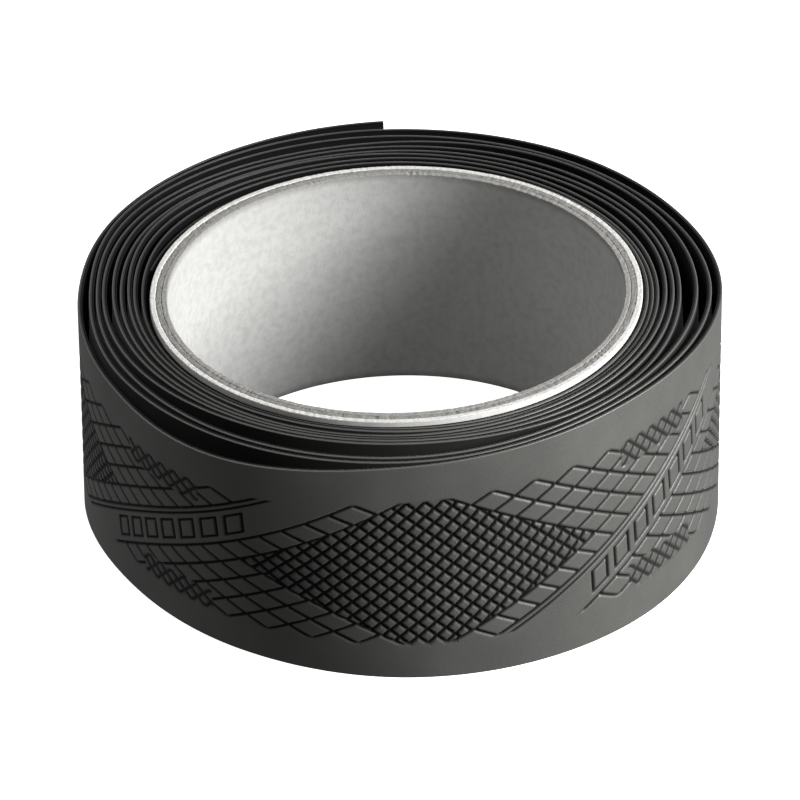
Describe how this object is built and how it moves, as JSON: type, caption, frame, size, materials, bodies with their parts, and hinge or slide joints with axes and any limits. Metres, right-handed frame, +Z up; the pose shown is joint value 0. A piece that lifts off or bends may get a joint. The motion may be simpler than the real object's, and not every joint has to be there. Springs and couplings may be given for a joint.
{
  "type": "grip tape roll",
  "caption": "Loosely wound roll of embossed cushioned grip tape on a short cardboard core, with a free end that peels outwards.",
  "frame": {"origin": "on the core's axis, at the bottom faces of the core and the tape", "axes": "+Z up along the core's axis; the tape's free end lies towards +Y and its inner end towards -X"},
  "size_m": [0.0669, 0.0682, 0.0255],
  "materials": {
    "core_white_paper": "matte white paper",
    "core_grey_board": "matte grey recycled board",
    "core_liner_board": "matte light grey mottled board",
    "tape_polyurethane": "satin embossed polyurethane, near black",
    "tape_felt": "matte black non-woven felt",
    "adhesive": "clear double-sided adhesive",
    "release_paper": "glazed release paper"
  },
  "bodies": {
    "core": {"core_outer_ply": "core_white_paper", "core_middle_ply": "core_grey_board", "core_inner_ply": "core_liner_board"},
    "winding": {"tape_face": "tape_polyurethane", "tape_backing": "tape_felt", "starter_adhesive": "adhesive", "starter_release_paper": "release_paper"},
    "tail_1": {"tail_face_1": "tape_polyurethane", "tail_backing_1": "tape_felt"},
    "tail_2": {"tail_face_2": "tape_polyurethane", "tail_backing_2": "tape_felt"},
    "tail_3": {"tail_face_3": "tape_polyurethane", "tail_backing_3": "tape_felt"},
    "tail_4": {"tail_face_4": "tape_polyurethane", "tail_backing_4": "tape_felt"},
    "tail_5": {"tail_face_5": "tape_polyurethane", "tail_backing_5": "tape_felt"}
  },
  "joints": [
    {"name": "winding_turn", "type": "hinge", "parent": "core", "child": "winding", "pos_m": [0, 0, 0], "axis": [0, 0, 1], "continuous": true},
    {"name": "tail_peel_1", "type": "hinge", "parent": "winding", "child": "tail_1", "pos_m": [-0.03324, 0.00115, 0.0125], "axis": [0, 0, 1], "range_deg": [0, 20]},
    {"name": "tail_peel_2", "type": "hinge", "parent": "tail_1", "child": "tail_2", "pos_m": [-0.03169, 0.01141, 0.0125], "axis": [0, 0, 1], "range_deg": [0, 20]},
    {"name": "tail_peel_3", "type": "hinge", "parent": "tail_2", "child": "tail_3", "pos_m": [-0.02716, 0.02076, 0.0125], "axis": [0, 0, 1], "range_deg": [0, 20]},
    {"name": "tail_peel_4", "type": "hinge", "parent": "tail_3", "child": "tail_4", "pos_m": [-0.02008, 0.02834, 0.0125], "axis": [0, 0, 1], "range_deg": [0, 20]},
    {"name": "tail_peel_5", "type": "hinge", "parent": "tail_4", "child": "tail_5", "pos_m": [-0.01106, 0.03349, 0.0125], "axis": [0, 0, 1], "range_deg": [0, 20]}
  ],
  "couplings": [
    {"joint": "tail_peel_2", "follows": "tail_peel_1", "ratio": 1},
    {"joint": "tail_peel_3", "follows": "tail_peel_1", "ratio": 1},
    {"joint": "tail_peel_4", "follows": "tail_peel_1", "ratio": 1},
    {"joint": "tail_peel_5", "follows": "tail_peel_1", "ratio": 1}
  ]
}
